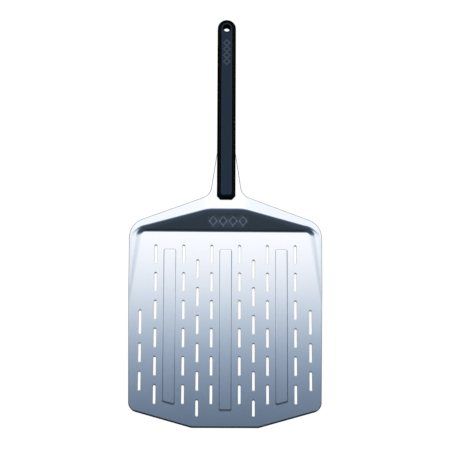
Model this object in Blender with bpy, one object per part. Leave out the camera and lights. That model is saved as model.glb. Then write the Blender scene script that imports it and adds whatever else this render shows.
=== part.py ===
"""Pizza peel: a pressed aluminium head on a handle of two moulded shells.

Metres, +Z up. The head lies flat on Z = 0 with its front edge towards -Y, and the handle runs to +Y.
The origin is the middle of the base of the whole peel's box. Places along the peel are first given as a
reach, the distance back from the head's front edge, and place() moves them into this frame.
"""
import math
from itertools import combinations

import bmesh
import bpy

# Overall sizes
HEAD_WIDTH = 0.305          # across the straight sides of the head
PAN_LENGTH = 0.3058         # front edge to the foot of the sloping back wall
HANDLE_LENGTH = 0.2906
HANDLE_WIDTH = 0.0292
NECK_HEIGHT = 0.017         # underside of the neck above the underside of the pan

# Clearances between pieces
GAP = 0.0003                # between two pieces that touch
PARTING_GAP = 0.0003        # between the two shells

# Pressed sheet
SHEET = 0.002
SHEET_MARGIN = 0.012        # the flat blank reaches this far past the outline before it is trimmed
WALL_SLOPE = 0.54           # rise over run of the back wall
PLATEAU_HALF = 0.028        # half-width of the level neck between the two shoulders
SHOULDER_FOOT_MARGIN = 0.0035   # the shoulders would reach the pan's level this far in from the sides
STRIP_RISE = 0.0010         # the side strips stand this far above the pan at its rear corners
STRIP_LENGTH = 0.1078       # and run down to nothing this far in front of them
STRIP_REAR_WIDTH = 0.019

# Outline of the head and neck
FRONT_FLAT_HALF = 0.052
FRONT_SWEEP = 0.0272        # how far back the sloping front edges reach at the sides
FRONT_NARROWING = 0.0025    # the sides draw in by this much at the front corners
NARROWING_START = 0.220
FRONT_CORNER_RADIUS = 0.016
BACK_CORNER_RADIUS = 0.030
BACK_CORNER_OFFSET = 0.0125
NECK_ROOT_HALF = 0.0252
NECK_ROOT_OFFSET = 0.0247
NECK_FILLET_RADIUS = 0.020
NECK_TAPER_LENGTH = 0.1145
TANG_HALF = 0.0075
TANG_CORNER_RADIUS = 0.004
LEADING_EDGE = 0.0006       # thickness left at the ground front edge
LEADING_BEVEL = 0.0022      # width of the ground bevel

# Pressed ribs
RIB_WIDTH = 0.0195
RIB_HEIGHT = 0.0012
RIB_RUN = 0.0021            # width of the rib's sloping side
RIB_WALL = 0.0006           # sideways thickness left in the rib's sloping side
RIB_FRONT_MARGIN = 0.0265
RIB_REAR_MARGIN = 0.0275
RIB_CORNER_RADIUS = 0.003
RIB_COLUMNS = (-4, 0, 4)

# Slots
SLOT_WIDTH = 0.004
SLOT_LENGTH = 0.0285
COLUMN_PITCH = 0.022
ROW_PITCH = 0.0436
FIRST_ROW = 0.0369
STAGGER = 0.0205
STAGGERED_COLUMN = 2
FRONT_MARGIN = 0.0180
REAR_MARGIN = 0.020
SIDE_MARGIN = 0.019
SIDE_REAR_MARGIN = 0.0170
SLOT_END_STEPS = 6

# Handle shells, as heights from the middle of the neck sheet
HANDLE_SETBACK = 0.0176     # handle front behind the top of the back wall
HANDLE_CHAMFER = 0.0055     # plan chamfer of the front corners
SIDE_WALL_HEIGHT = 0.0066
CREST_HEIGHT = 0.0104
CREST_INSET = 0.00295
SHELL_WALL = 0.0025
SHELL_SKIN = 0.0018
HOLLOW_FRONT_MARGIN = 0.006
HOLLOW_REAR_MARGIN = 0.032
HOLLOW_CORNER_RADIUS = 0.003
ARC_STEPS = 10

# Inlays
INLAY_EDGE_INSET = 0.00595   # handle side to inlay side
INLAY_THICKNESS = 0.0015
INLAY_SEAT = 0.0084         # height of the recess floor
INLAY_FRONT_MARGIN = 0.006
LOWER_INLAY_FRONT_MARGIN = 0.078
INLAY_CORNER_RADIUS = 0.003

# Hanging hole
HOLE_RADIUS = 0.00525
HOLE_RING_RADIUS = 0.0064

# Fasteners
SCREW_SHANK_RADIUS = 0.0015
SCREW_HEAD_RADIUS = 0.003
SCREW_HEAD_HEIGHT = 0.002
SCREW_SEAT = 0.0038         # height of the head's seat below the middle of the neck sheet
SCREW_TIP = 0.005
SCREW_CHAMFER = 0.0003
SOCKET_RADIUS = 0.0013
SOCKET_DEPTH = 0.0012
INSERT_RADIUS = 0.0024
INSERT_BOTTOM = 0.0017
INSERT_TOP = 0.0051
BOSS_RADIUS = 0.0042
PLATE_HOLE_RADIUS = 0.002
NECK_SCREWS = (0.022, 0.052)        # back from the front of the handle
FIRST_SHELL_SCREW = 0.115
LAST_SHELL_SCREW_MARGIN = 0.050     # from the rear end of the handle
TANG_PAST_LAST_SCREW = 0.010
ROUND_STEPS = 20

# Places that follow from the sizes above, as reaches from the front edge
WALL_TOP = PAN_LENGTH + NECK_HEIGHT / WALL_SLOPE
HANDLE_FRONT = WALL_TOP + HANDLE_SETBACK
HANDLE_REAR = HANDLE_FRONT + HANDLE_LENGTH
HOLE_REACH = HANDLE_REAR - HANDLE_WIDTH / 2
OVERALL_LENGTH = HANDLE_REAR
NECK_ROOT = WALL_TOP + NECK_ROOT_OFFSET
BACK_CORNER = PAN_LENGTH + BACK_CORNER_OFFSET
LAST_SHELL_SCREW = HANDLE_LENGTH - LAST_SHELL_SCREW_MARGIN
SHELL_SCREWS = (FIRST_SHELL_SCREW, (FIRST_SHELL_SCREW + LAST_SHELL_SCREW) / 2, LAST_SHELL_SCREW)
TANG_END = HANDLE_FRONT + LAST_SHELL_SCREW + TANG_PAST_LAST_SCREW
MIDDLE = NECK_HEIGHT + SHEET / 2
HOLLOW_CEILING = INLAY_SEAT - SHELL_SKIN
INLAY_HALF = HANDLE_WIDTH / 2 - INLAY_EDGE_INSET
FRONT_SLOPE = FRONT_SWEEP / (HEAD_WIDTH / 2 - FRONT_NARROWING - FRONT_FLAT_HALF)
CUT_LOW = -0.01             # cutters start below the whole peel
CUT_HIGH = 0.05             # and end above it


def place(x, reach):
    """A point in plan, from its distance across and its reach from the front edge."""
    return (x, reach - OVERALL_LENGTH / 2)


def moved_corners(corners, shifts):
    """The corners of a counter-clockwise polygon whose side i, from corner i on, moves in by shifts[i]."""
    lines = []
    for i, (x, y) in enumerate(corners):
        x_next, y_next = corners[(i + 1) % len(corners)]
        length = math.hypot(x_next - x, y_next - y)
        along = ((x_next - x) / length, (y_next - y) / length)
        lines.append((x - along[1] * shifts[i], y + along[0] * shifts[i], along))
    moved = []
    for i in range(len(corners)):
        x1, y1, (u1, v1) = lines[i - 1]
        x2, y2, (u2, v2) = lines[i]
        step = ((x2 - x1) * v2 - (y2 - y1) * u2) / (u1 * v2 - v1 * u2)
        moved.append((x1 + u1 * step, y1 + v1 * step))
    return moved


def rounded(corners, radii, steps):
    """The polygon's points, with an arc of the given radius in place of each corner."""
    points = []
    for i, (x, y) in enumerate(corners):
        if radii[i] == 0:
            points.append((x, y))
            continue
        x0, y0 = corners[i - 1]
        x1, y1 = corners[(i + 1) % len(corners)]
        heading_in = math.atan2(y - y0, x - x0)
        turn = math.remainder(math.atan2(y1 - y, x1 - x) - heading_in, math.tau)
        side = math.copysign(1, turn)
        tangent = radii[i] * math.tan(abs(turn) / 2)
        start_x = x - tangent * math.cos(heading_in)
        start_y = y - tangent * math.sin(heading_in)
        centre_x = start_x - side * radii[i] * math.sin(heading_in)
        centre_y = start_y + side * radii[i] * math.cos(heading_in)
        for step in range(steps + 1):
            heading = heading_in + turn * step / steps
            points.append((centre_x + side * radii[i] * math.sin(heading),
                           centre_y - side * radii[i] * math.cos(heading)))
    return points


def circle(x, y, radius, steps=ROUND_STEPS):
    """Points around a circle."""
    angles = (math.tau * step / steps for step in range(steps))
    return [(x + radius * math.cos(a), y + radius * math.sin(a)) for a in angles]


def add_loft(bm, rings, tube=False):
    """Add a closed body that runs through rings of points, each with its height."""
    loops = [[bm.verts.new((x, y, z)) for x, y in points] for points, z in rings]
    pairs = list(zip(loops, loops[1:]))
    if tube:
        pairs.append((loops[-1], loops[0]))
    else:
        bm.faces.new(reversed(loops[0]))
        bm.faces.new(loops[-1])
    for low, high in pairs:
        for i in range(len(low)):
            j = (i + 1) % len(low)
            bm.faces.new((low[i], low[j], high[j], high[i]))


def finish(name, bm, material=None):
    """Make an object from the bmesh; one without a material is a cutter."""
    bmesh.ops.remove_doubles(bm, verts=bm.verts, dist=1e-6)
    if all(edge.is_manifold for edge in bm.edges):
        bmesh.ops.recalc_face_normals(bm, faces=bm.faces)
    mesh = bpy.data.meshes.new(name)
    bm.to_mesh(mesh)
    bm.free()
    obj = bpy.data.objects.new(name, mesh)
    bpy.context.scene.collection.objects.link(obj)
    if material:
        mesh.materials.append(material)
        obj.parent = peel
    else:
        obj.hide_render = True
        obj.display_type = "WIRE"
    return obj


def loft(name, rings, material=None, tube=False):
    """An object of one lofted body."""
    bm = bmesh.new()
    add_loft(bm, rings, tube)
    return finish(name, bm, material)


def prisms(name, outlines, low, high):
    """A cutter made of upright prisms that all run between the same two heights."""
    bm = bmesh.new()
    for points in outlines:
        add_loft(bm, [(points, low), (points, high)])
    return finish(name, bm)


def boolean(obj, cutter, operation="DIFFERENCE"):
    """Cut, trim or join one object with another."""
    modifier = obj.modifiers.new(cutter.name, "BOOLEAN")
    modifier.operation = operation
    modifier.object = cutter
    modifier.solver = "EXACT"


def smooth(obj, angle=35):
    """Shade the round sides smooth and keep the edges crisp."""
    obj.data.shade_smooth()
    obj.data.set_sharp_from_angle(angle=math.radians(angle))


def finish_material(name, colour, roughness, metallic):
    """One Principled material."""
    material = bpy.data.materials.new(name)
    material.use_nodes = True
    shader = material.node_tree.nodes["Principled BSDF"]
    shader.inputs["Base Color"].default_value = (*colour, 1)
    shader.inputs["Roughness"].default_value = roughness
    shader.inputs["Metallic"].default_value = metallic
    return material


# The head

def fold_planes():
    """The flat pieces of the pressing, each as the slopes and height of z = a x + b y + c.

    The rising ones are the back wall and the short walls of the side strips; the covering ones are the
    strips' tops, the shoulders and the level neck.
    """
    _, pan_end = place(0, PAN_LENGTH)
    length = math.hypot(STRIP_LENGTH, STRIP_REAR_WIDTH)
    across, along = (WALL_SLOPE * side / length for side in (STRIP_LENGTH, STRIP_REAR_WIDTH))
    start = -across * (HEAD_WIDTH / 2 - STRIP_REAR_WIDTH) - along * pan_end
    rising = [(0, WALL_SLOPE, -WALL_SLOPE * pan_end), (across, along, start), (-across, along, start)]
    climb = STRIP_RISE / STRIP_LENGTH
    strip = (0, climb, climb * (STRIP_LENGTH - pan_end))
    fall = NECK_HEIGHT / (HEAD_WIDTH / 2 - SHOULDER_FOOT_MARGIN - PLATEAU_HALF)
    shoulders = [(-side * fall, 0, NECK_HEIGHT + fall * PLATEAU_HALF) for side in (1, -1)]
    return rising, strip, [(0, 0, NECK_HEIGHT), *shoulders]


def folded_body(name, thickness, margin, material=None):
    """The body under a folded blank whose flat pieces each lie one thickness out from the sheet's underside.

    The blank reaches a margin past the outline. It is creased where two flat pieces meet, lifted to shape and
    closed one margin below the pan.
    """
    rising, strip, covering = fold_planes()

    def moved_out(plane):
        a, b, c = plane
        return a, b, c + thickness * math.hypot(1, a, b)
    pan, strip = moved_out((0, 0, 0)), moved_out(strip)
    rising, covering = [moved_out(plane) for plane in rising], [moved_out(plane) for plane in covering]

    def height(x, y):
        def at(plane):
            return plane[0] * x + plane[1] * y + plane[2]
        cover = max(at(pan), at(strip), min(at(plane) for plane in covering))
        return min(max(at(pan), *(at(plane) for plane in rising)), cover)

    half = HEAD_WIDTH / 2 + margin
    corners = [place(-half, -margin), place(half, -margin),
               place(half, TANG_END + margin), place(-half, TANG_END + margin)]
    bm = bmesh.new()
    bm.faces.new([bm.verts.new((x, y, 0)) for x, y in corners])
    for one, other in combinations((pan, strip, *rising, *covering), 2):
        a, b, c = (one[i] - other[i] for i in range(3))
        if a == 0 and b == 0:
            continue
        on_crease = (-a * c / (a * a + b * b), -b * c / (a * a + b * b), 0)
        bmesh.ops.bisect_plane(bm, geom=[*bm.verts, *bm.edges, *bm.faces], dist=1e-6,
                               plane_co=on_crease, plane_no=(a, b, 0))
    for vert in bm.verts:
        vert.co.z = height(vert.co.x, vert.co.y)
    bm.normal_update()
    bmesh.ops.dissolve_limit(bm, angle_limit=math.radians(0.05), verts=bm.verts, edges=bm.edges)
    rim = [edge for edge in bm.edges if edge.is_boundary]
    walls = bmesh.ops.extrude_edge_only(bm, edges=rim)["geom"]
    for vert in (part for part in walls if isinstance(part, bmesh.types.BMVert)):
        vert.co.z = -margin
    bmesh.ops.edgeloop_fill(bm, edges=[edge for edge in bm.edges if edge.is_boundary])
    return finish(name, bm, material)


def head_outline(front_inset):
    """The outline of head, neck and tang, with its front edges moved back by front_inset."""
    half = HEAD_WIDTH / 2
    right = [place(FRONT_FLAT_HALF, 0), place(half - FRONT_NARROWING, FRONT_SWEEP),
             place(half, NARROWING_START), place(half, BACK_CORNER),
             place(NECK_ROOT_HALF, NECK_ROOT), place(TANG_HALF, NECK_ROOT + NECK_TAPER_LENGTH),
             place(TANG_HALF, TANG_END)]
    radii = [0, FRONT_CORNER_RADIUS, 0, BACK_CORNER_RADIUS, NECK_FILLET_RADIUS, 0, TANG_CORNER_RADIUS]
    corners = right + [(-x, y) for x, y in reversed(right)]
    shifts = [0.0] * len(corners)
    for edge in (0, len(corners) - 2, len(corners) - 1):
        shifts[edge] = front_inset
    return rounded(moved_corners(corners, shifts), radii + radii[::-1], ARC_STEPS)


def front_reach(x):
    """Reach of the head's front edge at a distance x across."""
    return max(0.0, abs(x) - FRONT_FLAT_HALF) * FRONT_SLOPE


def rib_rings(column, inset, low, high):
    """A rib's outline at its foot and, one side run further in, at its top."""
    x = column * COLUMN_PITCH
    left, right = x - RIB_WIDTH / 2, x + RIB_WIDTH / 2
    margin = RIB_FRONT_MARGIN * math.hypot(1, FRONT_SLOPE if x else 0)
    rear = PAN_LENGTH - RIB_REAR_MARGIN
    front = [front_reach(x_end) + margin for x_end in (left, right)]
    corners = [place(left, front[0]), place(right, front[1]), place(right, rear), place(left, rear)]

    def ring(shift):
        radii = [RIB_CORNER_RADIUS - shift / 2] * 4
        return rounded(moved_corners(corners, [shift] * 4), radii, 3)
    return [(ring(inset), low), (ring(inset), high - RIB_HEIGHT), (ring(inset + RIB_RUN), high)]


def slot_outline(x, front, rear):
    """A long slot with round ends."""
    radius = SLOT_WIDTH / 2
    corners = [place(x - radius, front), place(x + radius, front),
               place(x + radius, rear), place(x - radius, rear)]
    return rounded(corners, [radius] * 4, SLOT_END_STEPS // 2)


def column_slots(start, last_rear):
    """The front and rear ends of one column's slots; its rows fill the length up to last_rear."""
    rows = int((last_rear - start + ROW_PITCH - SLOT_LENGTH) / ROW_PITCH)
    fronts = [start + ROW_PITCH * row for row in range(rows)]
    return [(front, front + SLOT_LENGTH) for front in fronts]


def all_slots():
    """Every slot as its place across, its front end and its rear end."""
    side_column = HEAD_WIDTH / 2 - SIDE_MARGIN
    last_rear = PAN_LENGTH - REAR_MARGIN
    staggered = FIRST_ROW + STAGGER
    slots = []
    for column in range(1, int(side_column / COLUMN_PITCH - 0.5) + 1):
        if column in RIB_COLUMNS:
            continue
        ends = column_slots(FIRST_ROW, last_rear)
        if column == STAGGERED_COLUMN:
            short_rear = staggered - ROW_PITCH + SLOT_LENGTH
            ends = [(FRONT_MARGIN, short_rear)] + column_slots(staggered, last_rear)
        slots += [(column * COLUMN_PITCH, front, rear) for front, rear in ends]
    side_rear = PAN_LENGTH - STRIP_LENGTH - SIDE_REAR_MARGIN
    side_ends = column_slots(staggered, side_rear)
    side_ends[-1] = (side_ends[-1][0], side_rear)
    slots += [(side_column, front, rear) for front, rear in side_ends]
    return slots + [(-x, front, rear) for x, front, rear in slots]


def screw_places():
    """Plan places of the five screws, from front to rear."""
    return [place(0, HANDLE_FRONT + back) for back in (*NECK_SCREWS, *SHELL_SCREWS)]


def blade(material):
    """The head, neck and tang: one pressed, slotted, trimmed and ground sheet."""
    sheet = folded_body("blade", SHEET, SHEET_MARGIN, material)
    boolean(sheet, folded_body("underside", 0, 2 * SHEET_MARGIN))
    outlines = [slot_outline(*slot) for slot in all_slots()]
    outlines += [circle(x, y, PLATE_HOLE_RADIUS) for x, y in screw_places()]
    boolean(sheet, prisms("slots_and_screw_holes", outlines, CUT_LOW, CUT_HIGH))
    bm = bmesh.new()
    for column in RIB_COLUMNS:
        add_loft(bm, rib_rings(column, 0, SHEET / 2, SHEET + RIB_HEIGHT))
    boolean(sheet, finish("rib_tops", bm), "UNION")
    bm = bmesh.new()
    for column in RIB_COLUMNS:
        add_loft(bm, rib_rings(column, RIB_WALL, -SHEET, RIB_HEIGHT))
    boolean(sheet, finish("rib_hollows", bm))
    sharp, ground = head_outline(0), head_outline(LEADING_BEVEL)
    trim = loft("blade_trim", [(sharp, CUT_LOW), (sharp, LEADING_EDGE), (ground, SHEET), (ground, CUT_HIGH)])
    boolean(sheet, trim, "INTERSECT")
    smooth(sheet, 15)


# The handle

def handle_outline(inset, front_margin=None, radius=0.0):
    """The handle's plan outline moved in by inset: chamfered or rounded in front, round at the rear."""
    half = HANDLE_WIDTH / 2 - inset
    front = HANDLE_FRONT + (inset if front_margin is None else front_margin)
    rear = HANDLE_REAR - inset
    if radius:
        corners = [place(-half, front), place(half, front), place(half, rear), place(-half, rear)]
        return rounded(corners, [radius, radius, half, half], ARC_STEPS)
    cut = HANDLE_CHAMFER - inset * (2 - math.sqrt(2))
    corners = [place(-half + cut, front), place(half - cut, front), place(half, front + cut),
               place(half, rear), place(-half, rear), place(-half, front + cut)]
    return rounded(corners, [0, 0, 0, half, half, 0], ARC_STEPS)


def inlay_outline(front_margin, grow=0.0):
    """An inlay's plan outline, grown by a clearance where it is its recess."""
    return handle_outline(INLAY_EDGE_INSET - grow, front_margin - grow, radius=INLAY_CORNER_RADIUS + grow)


def neck_pocket_outline():
    """The neck and tang's outline grown by the gap, where the shells make room for them."""
    slope = (NECK_ROOT_HALF - TANG_HALF) / NECK_TAPER_LENGTH
    grow = GAP * math.hypot(1, slope)
    taper_end = NECK_ROOT + NECK_TAPER_LENGTH
    start = HANDLE_FRONT - HANDLE_CHAMFER
    wide = TANG_HALF + slope * (taper_end - start) + grow
    narrow = TANG_HALF + GAP
    right = [place(wide, start), place(narrow, taper_end), place(narrow, TANG_END + GAP)]
    return [(-x, y) for x, y in reversed(right)] + right


def shell(name, side, inlay_margin, material):
    """One moulded half of the handle; side is 1 for the upper half and -1 for the lower."""
    def z(height):
        return MIDDLE + side * height

    body = loft(name, [(handle_outline(0), z(PARTING_GAP / 2)), (handle_outline(0), z(SIDE_WALL_HEIGHT)),
                       (handle_outline(CREST_INSET), z(CREST_HEIGHT))], material)
    half = HANDLE_WIDTH / 2 - SHELL_WALL
    front, rear = HANDLE_FRONT + HOLLOW_FRONT_MARGIN, HANDLE_REAR - HOLLOW_REAR_MARGIN
    corners = [place(-half, front), place(half, front), place(half, rear), place(-half, rear)]
    hollow = rounded(corners, [HOLLOW_CORNER_RADIUS] * 4, 3)
    boolean(body, prisms(name + "_hollow", [hollow], z(-SHEET), z(HOLLOW_CEILING)))
    bosses = [circle(x, y, BOSS_RADIUS) for x, y in screw_places()]
    boss_top = HOLLOW_CEILING + SHELL_SKIN / 2
    boolean(body, prisms(name + "_bosses", bosses, z(PARTING_GAP), z(boss_top)), "UNION")
    pocket_top = SHEET / 2 + GAP
    boolean(body, prisms(name + "_neck_pocket", [neck_pocket_outline()], z(-pocket_top), z(pocket_top)))
    recess = prisms(name + "_recess", [inlay_outline(inlay_margin, GAP)], z(INLAY_SEAT), z(2 * CREST_HEIGHT))
    hole_x, hole_y = place(0, HOLE_REACH)
    ring = circle(hole_x, hole_y, HOLE_RING_RADIUS, 2 * ROUND_STEPS)
    boolean(recess, prisms(name + "_hole_ring", [ring], z(0), z(3 * CREST_HEIGHT)))
    boolean(body, recess)
    hole = circle(hole_x, hole_y, HOLE_RADIUS, 2 * ROUND_STEPS)
    boolean(body, prisms(name + "_hole", [hole], CUT_LOW, CUT_HIGH))
    return body


def upper_shell(material):
    """The upper half, with a blind bore for each threaded insert."""
    body = shell("handle_upper_shell", 1, INLAY_FRONT_MARGIN, material)
    bores = [circle(x, y, INSERT_RADIUS + GAP) for x, y in screw_places()]
    boolean(body, prisms("insert_bores", bores, MIDDLE, MIDDLE + INSERT_TOP + GAP))
    smooth(body)


def lower_shell(material):
    """The lower half, with a counterbored hole for each screw."""
    body = shell("handle_lower_shell", -1, LOWER_INLAY_FRONT_MARGIN, material)
    wide, narrow = SCREW_HEAD_RADIUS + GAP, SCREW_SHANK_RADIUS + GAP
    bm = bmesh.new()
    for x, y in screw_places():
        add_loft(bm, [(circle(x, y, wide), MIDDLE - 2 * CREST_HEIGHT),
                      (circle(x, y, wide), MIDDLE - SCREW_SEAT),
                      (circle(x, y, narrow), MIDDLE - SCREW_SEAT), (circle(x, y, narrow), MIDDLE)])
    boolean(body, finish("screw_bores", bm))
    smooth(body)


def inlay(name, side, front_margin, material):
    """A grip inlay in its recess, with an opening for the ring around the hanging hole."""
    outline = inlay_outline(front_margin)
    low = MIDDLE + side * (INLAY_SEAT + GAP)
    body = loft(name, [(outline, low), (outline, low + side * INLAY_THICKNESS)], material)
    hole_x, hole_y = place(0, HOLE_REACH)
    opening = circle(hole_x, hole_y, HOLE_RING_RADIUS + GAP, 2 * ROUND_STEPS)
    boolean(body, prisms(name + "_opening", [opening], CUT_LOW, CUT_HIGH))
    smooth(body)


# The fasteners

def hexagon(radius):
    """A hexagon drawn with as many points as a round ring has, so that the two can be skinned."""
    points = []
    steps = 24
    for step in range(steps):
        angle = math.tau * step / steps
        flat = math.remainder(angle - math.pi / 6, math.pi / 3)
        reach = radius * math.cos(math.pi / 6) / math.cos(flat)
        points.append((reach * math.cos(angle), reach * math.sin(angle)))
    return points


def screw(name, x, y, material):
    """A socket-head screw that enters from below, its head seated in the lower shell."""
    steps = len(hexagon(1))
    head_top = -SCREW_SEAT - GAP
    head_low = head_top - SCREW_HEAD_HEIGHT
    rings = [(hexagon(SOCKET_RADIUS), head_low + SOCKET_DEPTH), (hexagon(SOCKET_RADIUS), head_low)]
    for radius, height in ((SCREW_HEAD_RADIUS - SCREW_CHAMFER, head_low),
                           (SCREW_HEAD_RADIUS, head_low + SCREW_CHAMFER),
                           (SCREW_HEAD_RADIUS, head_top), (SCREW_SHANK_RADIUS, head_top),
                           (SCREW_SHANK_RADIUS, SCREW_TIP - SCREW_CHAMFER),
                           (SCREW_SHANK_RADIUS - SCREW_CHAMFER, SCREW_TIP)):
        rings.append((circle(0, 0, radius, steps), height))
    body = loft(name, rings, material)
    body.location = (x, y, MIDDLE)
    smooth(body)


def threaded_insert(name, x, y, material):
    """A brass sleeve pressed into the upper shell, drawn with its bore clear of the screw."""
    bore = SCREW_SHANK_RADIUS + GAP
    rings = [(circle(0, 0, INSERT_RADIUS), INSERT_BOTTOM), (circle(0, 0, INSERT_RADIUS), INSERT_TOP),
             (circle(0, 0, bore), INSERT_TOP), (circle(0, 0, bore), INSERT_BOTTOM)]
    body = loft(name, rings, material, tube=True)
    body.location = (x, y, MIDDLE)
    smooth(body)


for old in list(bpy.data.objects):
    bpy.data.objects.remove(old)

peel = bpy.data.objects.new("peel", None)
bpy.context.scene.collection.objects.link(peel)

aluminium = finish_material("anodised_aluminium", (0.72, 0.76, 0.80), 0.28, 1.0)
shell_nylon = finish_material("black_nylon", (0.008, 0.008, 0.009), 0.42, 0.0)
inlay_nylon = finish_material("slate_nylon", (0.024, 0.040, 0.060), 0.50, 0.0)
steel = finish_material("black_steel", (0.05, 0.05, 0.055), 0.35, 1.0)
brass = finish_material("brass", (0.78, 0.57, 0.22), 0.30, 1.0)

blade(aluminium)
upper_shell(shell_nylon)
lower_shell(shell_nylon)
inlay("upper_grip_inlay", 1, INLAY_FRONT_MARGIN, inlay_nylon)
inlay("lower_grip_inlay", -1, LOWER_INLAY_FRONT_MARGIN, inlay_nylon)
fastener_names = ("neck_front", "neck_rear", "grip_front", "grip_middle", "grip_rear")
for fastener, (screw_x, screw_y) in zip(fastener_names, screw_places()):
    screw(fastener + "_screw", screw_x, screw_y, steel)
    threaded_insert(fastener + "_insert", screw_x, screw_y, brass)
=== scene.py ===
"""How the pizza peel looks: a pressed aluminium head held by two moulded handle shells with slate inlays.

Metres, +Z up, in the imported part's frame: the head lies on Z = 0 with its front edge towards -Y, and the
handle runs to +Y. A reach is a distance back from the head's front edge. Heights in the handle are counted
from the middle of the neck sheet, outwards.
"""

import math

import bpy
import numpy as np
from mathutils import Matrix, Vector
from mathutils.geometry import delaunay_2d_cdt


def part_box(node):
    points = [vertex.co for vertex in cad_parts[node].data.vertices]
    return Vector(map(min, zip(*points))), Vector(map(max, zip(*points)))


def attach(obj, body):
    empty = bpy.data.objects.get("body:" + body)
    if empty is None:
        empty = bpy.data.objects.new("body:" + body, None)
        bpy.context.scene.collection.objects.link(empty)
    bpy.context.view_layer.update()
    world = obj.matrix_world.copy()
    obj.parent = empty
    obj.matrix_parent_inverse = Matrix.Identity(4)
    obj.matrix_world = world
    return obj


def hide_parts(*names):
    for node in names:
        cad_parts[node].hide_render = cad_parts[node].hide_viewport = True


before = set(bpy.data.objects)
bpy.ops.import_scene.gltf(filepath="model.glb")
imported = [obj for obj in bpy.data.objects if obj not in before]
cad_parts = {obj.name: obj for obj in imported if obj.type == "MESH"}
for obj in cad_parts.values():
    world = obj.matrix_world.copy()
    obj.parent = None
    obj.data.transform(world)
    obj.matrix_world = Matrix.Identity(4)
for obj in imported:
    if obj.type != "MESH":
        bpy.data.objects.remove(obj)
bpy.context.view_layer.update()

# Places read from the CAD part
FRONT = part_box("blade")[0].y
HEAD_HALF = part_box("blade")[1].x
TANG_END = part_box("blade")[1].y - FRONT
UPPER_LOW, UPPER_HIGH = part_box("handle_upper_shell")
MIDDLE = (UPPER_LOW.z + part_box("handle_lower_shell")[1].z) / 2
HANDLE_FRONT, HANDLE_REAR, HANDLE_HALF = UPPER_LOW.y, UPPER_HIGH.y, UPPER_HIGH.x
INLAY_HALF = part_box("upper_grip_inlay")[1].x
INLAY_FRONTS = {side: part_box(f"{name}_grip_inlay")[0].y for side, name in ((1, "upper"), (-1, "lower"))}
SCREW_NAMES = ("neck_front", "neck_rear", "grip_front", "grip_middle", "grip_rear")
SCREWS = [(sum(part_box(f"{name}_insert"), Vector()) / 2).xy for name in SCREW_NAMES]

# Pressed sheet
SHEET = 0.002
NECK_HEIGHT = MIDDLE - SHEET / 2
PAN_LENGTH = 0.3058         # front edge to where the pan starts to turn up
FOOT_OFFSET = 0.0013        # from there to where the pan and the back wall would meet without a fold
WALL_SLOPE = 0.557          # rise over run of the back wall between its folds
SIDE_SLOPE = 0.2            # rise over run of the strips' walls
PAN_CORNER_RADIUS = 0.009   # plan radius where the back wall turns into the strips' walls
PLATEAU_HALF = 0.028        # half-width of the level neck between the two shoulders
SHOULDER_FOOT_MARGIN = 0.0035   # the shoulders come down to the pan this far in from the head's sides
STRIP_RISE = 0.0010         # the side strips stand this far above the pan at its rear corners
STRIP_LENGTH = 0.1078
STRIP_REAR_WIDTH = 0.019
FOOT_FOLD = 0.00085         # how far, in height, the foot of each wall is rounded
CREST_FOLD = 0.0022         # the same along the walls' upper edges
SHOULDER_FOLD = 0.0012      # between the level neck and the shoulders
STRIP_FOLD = 0.0008         # and between the shoulders and the strips

# Outline of the head, neck and tang
FRONT_FLAT_HALF = 0.052
FRONT_SWEEP = 0.0272
FRONT_NARROWING = 0.0025
NARROWING_START = 0.220
FRONT_CORNER_RADIUS = 0.016
BACK_CORNER_RADIUS = 0.030
BACK_CORNER_OFFSET = 0.0125
NECK_ROOT_HALF = 0.0252
NECK_ROOT = 0.362           # reach of the corner where the shoulders run into the neck
NECK_FILLET_RADIUS = 0.020
NECK_TAPER_LENGTH = 0.1145
TANG_HALF = 0.0075
TANG_CORNER_RADIUS = 0.004
LEADING_EDGE = 0.0006       # thickness left at the ground front edge
LEADING_BEVEL = 0.0022      # width of the ground bevel
GRIND_FOLD = 0.00015        # how far, in height, the bevel's upper end is rounded
EDGE_LIP = 0.0016           # radius that the sheet's upper edge is rounded to
EDGE_LIP_SHARE = 0.8        # and the most of the sheet's thickness that this takes
UNDER_LIP = 0.0003          # radius of every lower edge and of the screws' holes

# Ribs and slots
RIB_WIDTH = 0.0195
RIB_HEIGHT = 0.0012
RIB_RUN = 0.0021
RIB_FOLD = 0.00035
RIB_FRONT_MARGIN = 0.0265
RIB_REAR_MARGIN = 0.0275
RIB_CORNER_RADIUS = 0.003
RIB_COLUMNS = (-4, 0, 4)
SLOT_WIDTH = 0.004
SLOT_LENGTH = 0.0285
SLOT_LIP = 0.0006           # radius of a slot's upper edge along its sides
SLOT_REAR_LIP = 0.0018      # and round its rear end, where the punch drew it in
COLUMN_PITCH = 0.022
ROW_PITCH = 0.0436
FIRST_ROW = 0.0369
STAGGER = 0.0205
STAGGERED_COLUMN = 2
FRONT_MARGIN = 0.0180
REAR_MARGIN = 0.020
SIDE_MARGIN = 0.019
SIDE_REAR_MARGIN = 0.0170
PLATE_HOLE_RADIUS = 0.002

# Row of rhombi pressed into the back wall
MARK_COUNT = 4
MARK_PITCH = 0.0158
MARK_LENGTH = 0.0062        # from the middle of a rhombus to its corner across the head
MARK_WIDTH = 0.0068         # and to its corner along the head
MARK_MIDDLE = (0.0035, FRONT + PAN_LENGTH + 0.0157)
MARK_DEPTH = 0.00032
MARK_HALF = 0.0012          # half-width of the pressed line

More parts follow.
